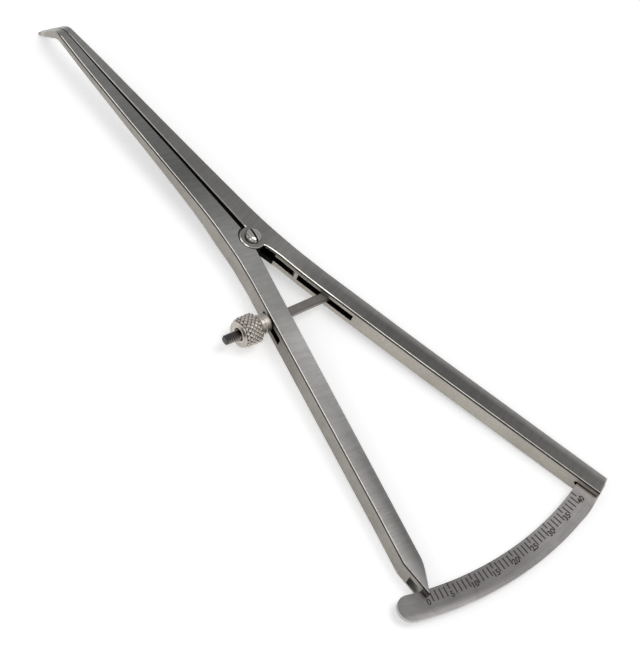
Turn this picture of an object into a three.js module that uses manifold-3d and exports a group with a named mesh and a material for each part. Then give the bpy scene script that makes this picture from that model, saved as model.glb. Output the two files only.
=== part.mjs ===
// Arm caliper with an arc scale and an adjusting nut, in millimetres, +Z up.
// The pivot axis is the Z axis, and the arms' undersides lie in the plane z = 0.
// The jaws point along -X. The scale arm is on the +Y side, the pointer arm on the -Y side.
// The object is drawn at reading 0: tips closed, rear arms wide apart.
import * as THREE from 'three';
import { mergeVertices } from 'three/addons/utils/BufferGeometryUtils.js';
import Module from 'manifold-3d';

const wasm = await Module();
wasm.setup();
const { Manifold } = wasm;

const circleSteps = 48;
const curveSteps = 12;
const weldDistance = 1e-5;

// Lever and arms
const tipReach = 78.4;
const armThickness = 4.7;
const edgeChamfer = 0.2;
const rearLength = 97.25;
const jawWidthAtBend = 2.2;
const jawWidthAtShoulder = 4.65;
const jawShoulderX = -20;
const overshoot = 5;

// Bent tips, seen from the side
const tipLength = 9.4;
const bendStart = tipReach - tipLength;
const bendRadius = 5.5;
const bendAngle = THREE.MathUtils.degToRad(50);
const thicknessAtBend = 1.8;
const thicknessAtTip = 0.8;
const tipNose = 0.7;
const jawTaperStart = -3.6;
const jawTaperKneeX = -20;
const jawTaperKneeZ = 2;

// Bent tips and jaw faces, seen from above
const contactHalfGap = 0.02;
const contactLength = 9;
const reliefKnee = 26;
const reliefKneeHalfGap = 0.28;
const reliefEnd = 4.4;
const scaleReliefHalfGap = 0.4;
const pointerReliefHalfGap = 0.68;
const tipWidth = 0.72;
const tipNoseLength = 1.1;

// The scale plate's inner edge, by how far the scale arm reaches past it
const plateInset = 4.95;
const plateInnerRadius = rearLength - plateInset;

// Scale arm behind the pivot: offsets are measured square to its direction
const scaleArmAngle = THREE.MathUtils.degToRad(14.5);
const scaleArmInnerFront = -0.45;
const scaleArmInnerRear = -0.55;
const scaleArmOuterFront = 4.3;
const scaleArmOuterRear = 3.93;
const scaleShoulderReach = 14;

// Pointer arm behind the pivot
const pointerArmAngle = THREE.MathUtils.degToRad(-15);
const pointerInnerFront = -0.7;
const pointerInnerRear = -1.8;
const pointerOuter = -6.15;
const pointerShoulderReach = 11;
const pointerOverlap = 1.8;
const pointerTipAlong = plateInnerRadius + pointerOverlap;
const pointerBevelLength = 8.2;
const pointerBevelStart = pointerTipAlong - pointerBevelLength;
const pointerTipAcross = -4;
const pointerCurveReach = 2.5;

// Pivot joint: two round lugs on the scale arm, one tongue on the pointer arm
const lugThickness = 1.5;
const lugRadius = 3.2;
const recessRadius = 3.52;
const tongueRadius = 3.05;
const forkRadius = 3.25;
const jointClearance = 0.05;
const pivotRadius = 1.1;
const boreClearance = 0.03;
const headRadius = 1.85;
const headHeight = 1.2;
const headEdge = 0.35;
const driverSlotWidth = 0.55;
const driverSlotDepth = 0.6;
const driverSlotAngle = THREE.MathUtils.degToRad(-11);
const spotRadius = 2.15;
const spotDepth = 0.15;

// Slots in the arms
const cutterRadius = 9;
const cutterAlong = 5.9;
const cutterDepth = 2.6;
const pocketDepth = 2.43;
const pocketReach = 10;
const pocketRoof = 0.75;
const rodSlotHeight = 1.8;
const scaleSlotStart = 13.55;
const scaleSlotEnd = 29.4;
const scaleSlotDepth = 3.1;
const pointerSlotStart = 18.6;
const pointerSlotEnd = 27;

// Scale plate
const plateWidth = 5.9;
const plateThickness = 0.9;
const plateBottom = 1.85;
const slitHeight = 1.25;
const plateEndAngle = THREE.MathUtils.degToRad(-20.15);
const plateRootClearance = 0.15;
const plateRootInset = 0.12;
const plateCornerReach = 1.1;
const plateCornerAlong = rearLength + plateCornerReach;
const plateCornerAcross = -3.1;
const reliefHoleRadius = 0.55;
const windowInset = 3.7;
const windowStart = plateInnerRadius - windowInset;
const windowBottom = 0.6;
const windowTop = 3;

// Adjusting rod, its pin, the collar and the nut
const pinAlong = 22;
const pinAcross = 1.7;
const pinRadius = 0.5;
const pinHeight = 3.9;
const rodAngle = THREE.MathUtils.degToRad(-96);
const rodLength = 30.65;
const rodRadius = 1.2;
const rodFlatThickness = 1.6;
const rodEndChamfer = 0.25;
const collarStart = 19.08;
const collarLength = 1.65;
const collarRadius = 2.3;
const collarRound = 0.45;
const nutBore = 1.32;
const hubRadius = 2.5;
const hubLength = 1.2;
const barrelRadius = 3.65;
const barrelEnd = 5.2;
const nutLength = 6.3;
const bossRadius = 3.1;
const bossHeight = 0.3;
const grooveDepth = 0.35;
const grooveWidth = 0.18;
const jointGroove = 0.25;
const faceRelief = 0.12;
const countersink = 0.45;

const middle = armThickness / 2;
const lugTop = lugThickness;
const tongueTop = armThickness - lugThickness;

// Turns a closed geometry into a solid that can be cut and joined
function solidOf(geometry) {
  geometry.deleteAttribute('normal');
  geometry.deleteAttribute('uv');
  const merged = mergeVertices(geometry, weldDistance);
  const vertProperties = new Float32Array(merged.attributes.position.array);
  const triVerts = new Uint32Array(merged.index.array);
  return new Manifold(new wasm.Mesh({ numProp: 3, vertProperties, triVerts }));
}

// Turns a solid back into a geometry with flat faces
function geometryOf(solid) {
  const mesh = solid.getMesh();
  const geometry = new THREE.BufferGeometry();
  const positions = new THREE.BufferAttribute(new Float32Array(mesh.vertProperties), 3);
  geometry.setAttribute('position', positions);
  geometry.setIndex(new THREE.BufferAttribute(new Uint32Array(mesh.triVerts), 1));
  geometry.computeVertexNormals();
  return geometry;
}

// A flat plate of that outline between two heights, its edges broken by a chamfer
function plate(shape, bottom, top, chamfer = 0, steps = curveSteps) {
  const geometry = new THREE.ExtrudeGeometry(shape, {
    depth: top - bottom - 2 * chamfer,
    curveSegments: steps,
    bevelEnabled: chamfer > 0,
    bevelThickness: chamfer,
    bevelSize: chamfer,
    bevelOffset: -chamfer,
    bevelSegments: 1,
  });
  geometry.translate(0, 0, bottom + chamfer);
  return solidOf(geometry);
}

function disc(radius, bottom, top, x = 0, y = 0) {
  const geometry = new THREE.CylinderGeometry(radius, radius, top - bottom, circleSteps);
  geometry.rotateX(Math.PI / 2);
  geometry.translate(x, y, (top + bottom) / 2);
  return solidOf(geometry);
}

// A box given by its limits along and across an arm, turned to the arm's direction
function armBox(angle, along, across, height) {
  const geometry = new THREE.BoxGeometry(
    along[1] - along[0],
    across[1] - across[0],
    height[1] - height[0],
  );
  geometry.translate(
    (along[0] + along[1]) / 2,
    (across[0] + across[1]) / 2,
    (height[0] + height[1]) / 2,
  );
  geometry.rotateZ(angle);
  return solidOf(geometry);
}

// The point that lies so far along and across an arm's direction
function onArm(angle, along, across) {
  return new THREE.Vector2(along, across).rotateAround(new THREE.Vector2(), angle);
}

// Where the line through two points meets the line through two others
function crossing(a, b, c, d) {
  const first = b.clone().sub(a);
  const second = d.clone().sub(c);
  const share = c.clone().sub(a).cross(second) / first.cross(second);
  return a.clone().addScaledVector(first, share);
}

function towards(from, to, distance) {
  return from.clone().addScaledVector(to.clone().sub(from).normalize(), distance);
}

// The jaw's edge from its shoulder to the nose of the tip and back along the contact face.
// side is 1 for the scale arm's jaw and -1 for the pointer arm's.
function drawJaw(shape, side, endHalfGap) {
  const noseStart = -tipReach + tipNoseLength;
  shape.lineTo(-bendStart, side * jawWidthAtBend);
  shape.quadraticCurveTo(
    -bendStart - bendRadius,
    side * (jawWidthAtBend - tipWidth / 2),
    noseStart,
    side * tipWidth,
  );
  shape.quadraticCurveTo(-tipReach, side * tipWidth, -tipReach, side * (tipWidth / 2));
  shape.lineTo(-tipReach, side * contactHalfGap);
  shape.lineTo(-tipReach + contactLength, side * contactHalfGap);
  shape.lineTo(-reliefKnee, side * reliefKneeHalfGap);
  shape.lineTo(-reliefEnd, side * endHalfGap);
}

// The side view that both jaws are ground to: taper underneath, then the bend and the nose
function sideProfile() {
  const centreZ = armThickness - bendRadius;
  const down = new THREE.Vector2(-Math.cos(bendAngle), -Math.sin(bendAngle));
  const out = new THREE.Vector2(-Math.sin(bendAngle), Math.cos(bendAngle));
  const centre = new THREE.Vector2(-bendStart, centreZ);
  const bendEnd = centre.clone().addScaledVector(out, bendRadius);
  const innerBendEnd = centre.clone().addScaledVector(out, bendRadius - thicknessAtBend);
  const run = (tipReach + bendEnd.x) / Math.cos(bendAngle);
  const topNose = bendEnd.clone().addScaledVector(down, run);
  const lowNose = topNose.clone().addScaledVector(out, -thicknessAtTip);
  const topNoseStart = topNose.clone().addScaledVector(down, -tipNose);
  const lowNoseStart = lowNose.clone().addScaledVector(down, -tipNose);
  const shape = new THREE.Shape();
  shape.moveTo(rearLength + overshoot, -overshoot);
  shape.lineTo(rearLength + overshoot, armThickness + overshoot);
  shape.lineTo(-bendStart, armThickness + overshoot);
  shape.lineTo(-bendStart, armThickness);
  shape.absarc(centre.x, centre.y, bendRadius, Math.PI / 2, Math.PI / 2 + bendAngle, false);
  shape.lineTo(topNoseStart.x, topNoseStart.y);
  shape.bezierCurveTo(topNose.x, topNose.y, lowNose.x, lowNose.y, lowNoseStart.x, lowNoseStart.y);
  shape.lineTo(innerBendEnd.x, innerBendEnd.y);
  shape.absarc(
    centre.x,
    centre.y,
    bendRadius - thicknessAtBend,
    Math.PI / 2 + bendAngle,
    Math.PI / 2,
    true,
  );
  shape.quadraticCurveTo(jawTaperKneeX, jawTaperKneeZ, jawTaperStart, 0);
  shape.lineTo(jawTaperStart, -overshoot);
  const geometry = new THREE.ExtrudeGeometry(shape, {
    depth: 2 * tipReach,
    curveSegments: curveSteps,
    bevelEnabled: false,
  });
  geometry.rotateX(Math.PI / 2);
  geometry.translate(0, tipReach, 0);
  return solidOf(geometry);
}

// An arm's blank: chamfered bar, deep enough at the jaw's end for the bend, ground to the side view
function armBlank(shape) {
  const bar = plate(shape, 0, armThickness, edgeChamfer);
  const deep = plate(shape, -2 * bendRadius, armThickness, edgeChamfer);
  const tipEnd = armBox(
    0,
    [-tipReach - overshoot, jawShoulderX * 2],
    [-jawWidthAtShoulder, jawWidthAtShoulder],
    [-2 * bendRadius, armThickness + overshoot],
  );
  return bar.add(deep.intersect(tipEnd)).intersect(sideProfile());
}

// Scale arm
function scaleArmShape() {
  const rearInner = onArm(scaleArmAngle, rearLength, scaleArmInnerRear);
  const rearOuter = onArm(scaleArmAngle, rearLength, scaleArmOuterRear);
  const frontInner = onArm(scaleArmAngle, 0, scaleArmInnerFront);
  const frontOuter = onArm(scaleArmAngle, 0, scaleArmOuterFront);
  const jawShoulder = new THREE.Vector2(jawShoulderX, jawWidthAtShoulder);
  const jawBend = new THREE.Vector2(-bendStart, jawWidthAtBend);
  const knee = crossing(jawBend, jawShoulder, frontOuter, rearOuter);
  const kneeFront = towards(knee, jawBend, scaleShoulderReach);
  const kneeRear = towards(knee, rearOuter, scaleShoulderReach);
  const gapEnd = new THREE.Vector2(-reliefEnd, scaleReliefHalfGap);
  const gapLevel = new THREE.Vector2(0, scaleReliefHalfGap);
  const crotch = crossing(gapEnd, gapLevel, frontInner, rearInner);
  const shape = new THREE.Shape();
  shape.moveTo(rearInner.x, rearInner.y);
  shape.lineTo(rearOuter.x, rearOuter.y);
  shape.lineTo(kneeRear.x, kneeRear.y);
  shape.quadraticCurveTo(knee.x, knee.y, kneeFront.x, kneeFront.y);
  drawJaw(shape, 1, scaleReliefHalfGap);
  shape.lineTo(crotch.x, crotch.y);
  return shape;
}

// A round lug, its rim chamfered on both faces
function lug(bottom, top) {
  const shape = new THREE.Shape();
  shape.absarc(0, 0, lugRadius, 0, 2 * Math.PI, false);
  return plate(shape, bottom, top, edgeChamfer, circleSteps / 2);
}

// The fork slot: round for the tongue, then one plunge of a disc cutter from the inner side
function forkSlot() {
  const cutter = onArm(scaleArmAngle, cutterAlong, cutterDepth - cutterRadius);
  const plunge = disc(cutterRadius, lugTop, tongueTop, cutter.x, cutter.y);
  return disc(forkRadius, lugTop, tongueTop).add(plunge);
}

// The round pocket beside the lugs, cut from below so that only a thin roof is left over it
function shoulderPocket() {
  const cutter = onArm(scaleArmAngle, 0, pocketDepth - cutterRadius);
  const roof = armThickness - pocketRoof;
  const round = disc(cutterRadius, -overshoot, roof, cutter.x, cutter.y);
  const limit = armBox(
    scaleArmAngle,
    [0, pocketReach],
    [-overshoot, overshoot],
    [-2 * overshoot, armThickness],
  );
  return round.intersect(limit);
}

// The slit for the scale plate, with the drilled hole at its front end
function plateSlit() {
  const slitStart = plateInnerRadius - plateRootClearance;
  const slit = armBox(
    scaleArmAngle,
    [slitStart, rearLength + overshoot],
    [-overshoot, 2 * overshoot],
    [plateBottom, plateBottom + slitHeight],
  );
  const drill = new THREE.CylinderGeometry(
    reliefHoleRadius,
    reliefHoleRadius,
    3 * overshoot,
    circleSteps / 2,
  );
  drill.translate(slitStart, 0, plateBottom + slitHeight / 2);
  drill.rotateZ(scaleArmAngle);
  return slit.add(solidOf(drill));
}

function scaleArm() {
  const pin = onArm(scaleArmAngle, pinAlong, pinAcross);
  const pinHole = disc(pinRadius + boreClearance, -overshoot, pinHeight, pin.x, pin.y);
  const rodSlot = armBox(
    scaleArmAngle,
    [scaleSlotStart, scaleSlotEnd],
    [-overshoot, scaleSlotDepth],
    [middle - rodSlotHeight / 2, middle + rodSlotHeight / 2],
  );
  const pivotBore = disc(pivotRadius + boreClearance, -overshoot, armThickness + overshoot);
  const spotface = disc(spotRadius, armThickness - spotDepth, armThickness + overshoot);
  return armBlank(scaleArmShape())
    .subtract(shoulderPocket())
    .add(lug(0, lugTop))
    .add(lug(tongueTop, armThickness))
    .subtract(forkSlot())
    .subtract(rodSlot)
    .subtract(plateSlit())
    .subtract(pinHole)
    .subtract(pivotBore)
    .subtract(spotface);
}

// Pointer arm
function pointerArmShape() {
  const tip = onArm(pointerArmAngle, pointerTipAlong, pointerTipAcross);
  const bevelStart = onArm(pointerArmAngle, pointerBevelStart, pointerOuter);
  const curveStart = onArm(pointerArmAngle, pointerBevelStart, pointerInnerRear);
  const curveKnee = onArm(
    pointerArmAngle,
    pointerBevelStart + pointerCurveReach,
    pointerInnerRear,
  );
  const frontInner = onArm(pointerArmAngle, 0, pointerInnerFront);
  const frontOuter = onArm(pointerArmAngle, 0, pointerOuter);
  const jawShoulder = new THREE.Vector2(jawShoulderX, -jawWidthAtShoulder);
  const jawBend = new THREE.Vector2(-bendStart, -jawWidthAtBend);
  const knee = crossing(jawBend, jawShoulder, frontOuter, bevelStart);
  const kneeFront = towards(knee, jawBend, pointerShoulderReach);
  const kneeRear = towards(knee, bevelStart, pointerShoulderReach);
  const gapEnd = new THREE.Vector2(-reliefEnd, -pointerReliefHalfGap);
  const gapLevel = new THREE.Vector2(0, -pointerReliefHalfGap);
  const crotch = crossing(gapEnd, gapLevel, frontInner, curveStart);
  const shape = new THREE.Shape();
  shape.moveTo(curveStart.x, curveStart.y);
  shape.quadraticCurveTo(curveKnee.x, curveKnee.y, tip.x, tip.y);
  shape.lineTo(bevelStart.x, bevelStart.y);
  shape.lineTo(kneeRear.x, kneeRear.y);
  shape.quadraticCurveTo(knee.x, knee.y, kneeFront.x, kneeFront.y);
  drawJaw(shape, -1, pointerReliefHalfGap);
  shape.lineTo(crotch.x, crotch.y);
  return shape;
}

function pointerArm() {
  const rodSlot = armBox(
    pointerArmAngle,
    [pointerSlotStart, pointerSlotEnd],
    [-3 * overshoot, overshoot],
    [middle - rodSlotHeight / 2, middle + rodSlotHeight / 2],
  );
  const plateWindow = armBox(
    pointerArmAngle,
    [windowStart, rearLength + overshoot],
    [-3 * overshoot, overshoot],
    [windowBottom, windowTop],
  );
  const tongueBottom = lugTop + jointClearance;
  const tongueUpper = tongueTop - jointClearance;
  return armBlank(pointerArmShape())
    .subtract(disc(recessRadius, -overshoot, tongueBottom))
    .subtract(disc(recessRadius, tongueUpper, armThickness + overshoot))
    .add(disc(tongueRadius, tongueBottom, tongueUpper))
    .subtract(disc(pivotRadius + boreClearance, -overshoot, armThickness + overshoot))
    .subtract(rodSlot)
    .subtract(plateWindow);
}

// Pivot screw: head with a rounded rim and a driver slot, plain shank flush with the underside
function pivotScrew() {
  const seat = armThickness - spotDepth;
  const top = armThickness + headHeight;
  const profile = new THREE.Path();
  profile.moveTo(0, 0);
  profile.lineTo(pivotRadius, 0);
  profile.lineTo(pivotRadius, seat);
  profile.lineTo(headRadius, seat);
  profile.lineTo(headRadius, top - headEdge);
  profile.quadraticCurveTo(headRadius, top, headRadius - headEdge, top);
  profile.lineTo(0, top);
  const geometry = new THREE.LatheGeometry(profile.getPoints(curveSteps / 2), circleSteps);
  geometry.rotateX(Math.PI / 2);
  const slot = armBox(
    driverSlotAngle,
    [-overshoot, overshoot],
    [-driverSlotWidth / 2, driverSlotWidth / 2],
    [top - driverSlotDepth, top + overshoot],
  );
  return solidOf(geometry).subtract(slot);
}

// Scale plate: a ring sector with a round free end, its root cut to the arm that holds it
function scalePlate() {
  const outerRadius = plateInnerRadius + plateWidth;
  const middleRadius = plateInnerRadius + plateWidth / 2;
  const rootAngle = 2 * scaleArmAngle;
  const free = new THREE.Vector2(middleRadius, 0).rotateAround(new THREE.Vector2(), plateEndAngle);
  const shape = new THREE.Shape();
  shape.absarc(0, 0, plateInnerRadius, rootAngle, plateEndAngle, true);
  shape.absarc(free.x, free.y, plateWidth / 2, plateEndAngle - Math.PI, plateEndAngle, false);
  shape.absarc(0, 0, outerRadius, plateEndAngle, rootAngle, false);
  const ring = plate(shape, plateBottom, plateBottom + plateThickness, 0, circleSteps);
  const corner = new THREE.Shape();
  const end = onArm(scaleArmAngle, rearLength, scaleArmInnerRear);
  const flare = onArm(scaleArmAngle, plateCornerAlong, plateCornerAcross);
  const beyondFlare = onArm(scaleArmAngle, rearLength + overshoot, plateCornerAcross);
  const beyond = onArm(scaleArmAngle, rearLength + overshoot, 3 * overshoot);
  const endOuter = onArm(scaleArmAngle, rearLength, 3 * overshoot);
  corner.moveTo(end.x, end.y);
  corner.lineTo(flare.x, flare.y);
  corner.lineTo(beyondFlare.x, beyondFlare.y);
  corner.lineTo(beyond.x, beyond.y);
  corner.lineTo(endOuter.x, endOuter.y);
  const past = armBox(
    scaleArmAngle,
    [0, rearLength + overshoot],
    [scaleArmOuterRear - plateRootInset, 20 * overshoot],
    [0, armThickness],
  );
  return ring.subtract(plate(corner, 0, armThickness)).subtract(past);
}

// Rod pin: flush underneath, blind in the upper lip of the slot
function rodPin() {
  return disc(pinRadius, 0, pinHeight);
}

// Adjusting rod, along its own +X from the pin: an eye, then a round bar with two flats
function adjustingRod() {
  const half = rodFlatThickness / 2;
  const profile = [
    new THREE.Vector2(0, 0),
    new THREE.Vector2(rodRadius, 0),
    new THREE.Vector2(rodRadius, rodLength - rodEndChamfer),
    new THREE.Vector2(rodRadius - rodEndChamfer, rodLength),
    new THREE.Vector2(0, rodLength),
  ];
  const bar = new THREE.LatheGeometry(profile, circleSteps / 2);
  bar.rotateZ(-Math.PI / 2);
  const slab = armBox(
    0,
    [-overshoot, rodLength + overshoot],
    [-overshoot, overshoot],
    [-half, half],
  );
  return solidOf(bar)
    .intersect(slab)
    .add(disc(rodRadius, -half, half))
    .subtract(disc(pinRadius + boreClearance, -overshoot, overshoot));
}

// A turned ring along its own +X, from (distance, radius) pairs that close on themselves
function turned(pairs) {
  const profile = pairs.map(([distance, radius]) => new THREE.Vector2(radius, distance));
  profile.push(profile[0].clone());
  const geometry = new THREE.LatheGeometry(profile, circleSteps);
  geometry.rotateZ(-Math.PI / 2);
  return solidOf(geometry);
}

// Thrust collar: smooth ring, rounded where it bears on the pointer arm
function thrustCollar() {
  const cornerShare = 1 - Math.SQRT1_2;
  return turned([
    [0, nutBore],
    [0, collarRadius - collarRound],
    [collarRound * cornerShare, collarRadius - collarRound * cornerShare],
    [collarRound, collarRadius],
    [collarLength - jointGroove, collarRadius],
    [collarLength, collarRadius - jointGroove],
    [collarLength, nutBore],
  ]);
}

// Adjusting nut: hub, barrel for the knurl, tapered end, and a small countersunk boss behind a groove
function adjustingNut() {
  const bossStart = nutLength - bossHeight;
  return turned([
    [0, nutBore],
    [0, hubRadius - jointGroove],
    [jointGroove, hubRadius],
    [hubLength, hubRadius],
    [hubLength + grooveDepth, barrelRadius - grooveDepth],
    [hubLength + 2 * grooveDepth, barrelRadius],
    [barrelEnd, barrelRadius],
    [bossStart - grooveWidth, bossRadius],
    [bossStart - grooveWidth, bossRadius - grooveDepth],
    [bossStart, bossRadius - grooveDepth],
    [bossStart, bossRadius],
    [nutLength - faceRelief, bossRadius],
    [nutLength, bossRadius - faceRelief],
    [nutLength, nutBore + countersink],
    [nutLength - countersink, nutBore],
  ]);
}

// Brushed steel, slightly different from piece to piece
function steel(colour, roughness) {
  return new THREE.MeshStandardMaterial({ color: colour, roughness, metalness: 1 });
}

function piece(name, solid, material) {
  const mesh = new THREE.Mesh(geometryOf(solid), material);
  mesh.name = name;
  return mesh;
}

const satin = steel(0xa8a6a2, 0.38);
const darker = steel(0x8f8d89, 0.42);
const bright = steel(0xc4c1bc, 0.28);

const caliper = new THREE.Group();
caliper.add(piece('scale_arm', scaleArm(), satin));
caliper.add(piece('pointer_arm', pointerArm(), satin));
caliper.add(piece('pivot_screw', pivotScrew(), bright));
caliper.add(piece('scale_plate', scalePlate(), darker));

const pinPlace = onArm(scaleArmAngle, pinAlong, pinAcross);
const pin = piece('rod_pin', rodPin(), satin);
pin.position.set(pinPlace.x, pinPlace.y, 0);
caliper.add(pin);

// What rides on the rod is placed along the rod's own axis
const rodGroup = new THREE.Group();
rodGroup.position.set(pinPlace.x, pinPlace.y, middle);
rodGroup.rotation.z = rodAngle;
rodGroup.add(piece('adjusting_rod', adjustingRod(), darker));
const collar = piece('thrust_collar', thrustCollar(), bright);
collar.position.x = collarStart;
rodGroup.add(collar);
const nut = piece('adjusting_nut', adjustingNut(), bright);
nut.position.x = collarStart + collarLength;
rodGroup.add(nut);
caliper.add(rodGroup);

export default caliper;
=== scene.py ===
import math

import bmesh
import bpy
from mathutils import Matrix, Vector


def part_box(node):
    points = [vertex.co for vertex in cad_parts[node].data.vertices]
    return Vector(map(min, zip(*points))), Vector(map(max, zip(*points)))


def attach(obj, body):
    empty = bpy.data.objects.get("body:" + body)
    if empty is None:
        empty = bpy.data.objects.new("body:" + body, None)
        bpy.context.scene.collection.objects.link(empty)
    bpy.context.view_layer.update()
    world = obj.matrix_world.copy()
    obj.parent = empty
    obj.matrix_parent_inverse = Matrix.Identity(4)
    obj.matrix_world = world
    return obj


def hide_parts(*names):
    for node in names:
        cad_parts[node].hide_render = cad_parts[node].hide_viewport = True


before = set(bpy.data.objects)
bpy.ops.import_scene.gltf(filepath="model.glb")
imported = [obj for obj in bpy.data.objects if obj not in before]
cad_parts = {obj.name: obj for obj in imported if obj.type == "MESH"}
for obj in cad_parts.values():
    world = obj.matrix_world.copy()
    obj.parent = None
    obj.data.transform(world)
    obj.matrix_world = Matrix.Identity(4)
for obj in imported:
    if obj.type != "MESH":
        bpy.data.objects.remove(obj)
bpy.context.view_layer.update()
print("frame loaded with", len(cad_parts), "nodes")

mm = 0.001
scene = bpy.context.scene

# Where things are on the caliper, in millimetres and degrees
layout = {
    "armTop": 4.7,
    "tipReach": 78.4,
    "scaleArmAngle": 14.5,
    "pointerArmAngle": -15.0,
    "pinAlong": 22.0,
    "pinAcross": 1.7,
    "rodAngle": -96.0,
    "rodHeight": 2.35,
    "collarStart": 18.83,
    "collarLength": 1.65,
    "nutBore": 1.32,
    "zeroAngle": -17.434,
    "plateInnerRadius": 92.3,
    "plateTop": 2.75,
}


# Point so far along and across a direction seen from above, in metres
def onArm(angle, along, across=0.0):
    a = math.radians(angle)
    x = along * math.cos(a) - across * math.sin(a)
    y = along * math.sin(a) + across * math.cos(a)
    return Vector((x, y, 0.0)) * mm


# Middle of the pin that the adjusting rod swings on
def rodStart():
    pin = onArm(layout["scaleArmAngle"], layout["pinAlong"], layout["pinAcross"])
    pin.z = layout["rodHeight"] * mm
    return pin


# Matrix that puts a piece built along +X so far along the adjusting rod
def alongRod(distance):
    turn = Matrix.Rotation(math.radians(layout["rodAngle"]), 4, "Z")
    return Matrix.Translation(rodStart()) @ turn @ Matrix.Translation((distance * mm, 0, 0))


# Sets a socket to a value, or links another socket into it
def feed(tree, socket, value):
    if isinstance(value, bpy.types.NodeSocket):
        tree.links.new(value, socket)
    else:
        socket.default_value = value


def addNode(tree, kind, inputs=None, **settings):
    node = tree.nodes.new(kind)
    for key, value in settings.items():
        setattr(node, key, value)
    for key, value in (inputs or {}).items():
        feed(tree, node.inputs[key], value)
    return node


def calc(tree, operation, *values):
    node = addNode(tree, "ShaderNodeMath", operation=operation)
    for socket, value in zip(node.inputs, values):
        feed(tree, socket, value)
    return node.outputs[0]


def times(tree, *values):
    product = values[0]
    for value in values[1:]:
        product = calc(tree, "MULTIPLY", product, value)
    return product


# A start value, plus each value times its share
def addUp(tree, start, *pairs):
    for value, share in pairs:
        start = calc(tree, "MULTIPLY_ADD", value, share, start)
    return start


def minus(tree, first, second):
    return calc(tree, "SUBTRACT", first, second)


def larger(tree, first, second):
    return calc(tree, "MAXIMUM", first, second)


# Value without its sign
def unsigned(tree, value):
    return calc(tree, "ABSOLUTE", value)


def isBelow(tree, value, limit):
    return calc(tree, "LESS_THAN", value, limit)


# Value moved from one range to another, held at the ends
def ramp(tree, value, low, high, start=0.0, end=1.0, smooth=True):
    node = addNode(tree, "ShaderNodeMapRange", {
        "Value": value,
        "From Min": low,
        "From Max": high,
        "To Min": start,
        "To Max": end,
    }, interpolation_type="SMOOTHSTEP" if smooth else "LINEAR")
    return node.outputs[0]


# 1 below the first value, 0 above the second
def fade(tree, value, low, high):
    return ramp(tree, value, low, high, 1.0, 0.0)


# 1 between two values and 0 outside them, with soft ends
def between(tree, value, low, high, soft=0.2):
    rise = ramp(tree, value, low, low + soft)
    return times(tree, rise, fade(tree, value, minus(tree, high, soft), high))


def splitUp(tree, vector):
    return addNode(tree, "ShaderNodeSeparateXYZ", {"Vector": vector}).outputs


def joinUp(tree, x=0.0, y=0.0, z=0.0):
    return addNode(tree, "ShaderNodeCombineXYZ", {"X": x, "Y": y, "Z": z}).outputs[0]


# Distance from an axis, from the places in the two directions across it
def fromAxis(tree, first, second):
    squares = calc(tree, "ADD", times(tree, first, first), times(tree, second, second))
    return calc(tree, "SQRT", squares)


def turnBy(tree, vector, angle):
    inputs = {"Vector": vector, "Angle": angle}
    return addNode(tree, "ShaderNodeVectorRotate", inputs, rotation_type="Z_AXIS").outputs[0]


def noise(tree, vector, scale, detail, **inputs):
    inputs.update({"Vector": vector, "Scale": scale, "Detail": detail})
    return addNode(tree, "ShaderNodeTexNoise", inputs).outputs[0]


# Mix of two colours
def blendColour(tree, share, first, second, mode="MIX"):
    node = addNode(tree, "ShaderNodeMix", data_type="RGBA", blend_type=mode)
    feed(tree, node.inputs[0], share)
    feed(tree, node.inputs[6], first)
    feed(tree, node.inputs[7], second)
    return node.outputs[2]


# A colour made brighter or darker
def shaded(tree, colour, shade):
    return blendColour(tree, 1.0, colour, shade, "MULTIPLY")


socketKinds = {
    "Vector": "NodeSocketVector",
    "Normal": "NodeSocketVector",
    "Geometry": "NodeSocketGeometry",
    "Material": "NodeSocketMaterial",
}


# A tree with named inputs and outputs, for shaders or geometry; the plain ones are numbers
def startTree(name, kind, inputs, outputs):
    tree = bpy.data.node_groups.new(name, kind)
    for label, value in inputs.items():
        plain = "NodeSocketInt" if isinstance(value, int) else "NodeSocketFloat"
        socketKind = socketKinds.get(label, plain)
        socket = tree.interface.new_socket(name=label, in_out="INPUT", socket_type=socketKind)
        if value is not None:
            socket.default_value = value
    for label in outputs:
        socketKind = socketKinds.get(label, "NodeSocketFloat")
        tree.interface.new_socket(name=label, in_out="OUTPUT", socket_type=socketKind)
    given = tree.nodes.new("NodeGroupInput").outputs
    return tree, given, tree.nodes.new("NodeGroupOutput").inputs


# Fine lines left by the grinding belt: long along one direction, close together across it
def buildBrushGroup():
    tree, given, result = startTree("brushLines", "ShaderNodeTree", {
        "Vector": None,
        "Turn": 0.0,
        "Lines per mm": 6.0,
        "Stretch": 18.0,
    }, ("Lines", "Bands"))
    split = splitUp(tree, turnBy(tree, given["Vector"], given["Turn"]))
    close = times(tree, given["Lines per mm"], 1 / mm)
    long = calc(tree, "DIVIDE", close, given["Stretch"])
    spread = joinUp(
        tree,
        times(tree, split[0], close),
        times(tree, split[1], long),
        times(tree, split[2], close),
    )
    fine = noise(tree, spread, 1.0, 3.0, Roughness=0.65)
    wide = noise(tree, spread, 0.17, 2.0)
    tree.links.new(ramp(tree, fine, 0.3, 0.7), result["Lines"])
    tree.links.new(ramp(tree, wide, 0.35, 0.65), result["Bands"])
    return tree


# Marks of handling: cloudy smudges and a few thin scratches that cross each other
scratchLook = {
    "turnsAndSeeds": ((0.5, 1.3), (-0.9, 4.7), (1.9, 8.1)),
    "scalePerMm": (0.9, 0.035, 0.4),
    "level": 0.68,
    "width": 0.012,
}


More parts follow.
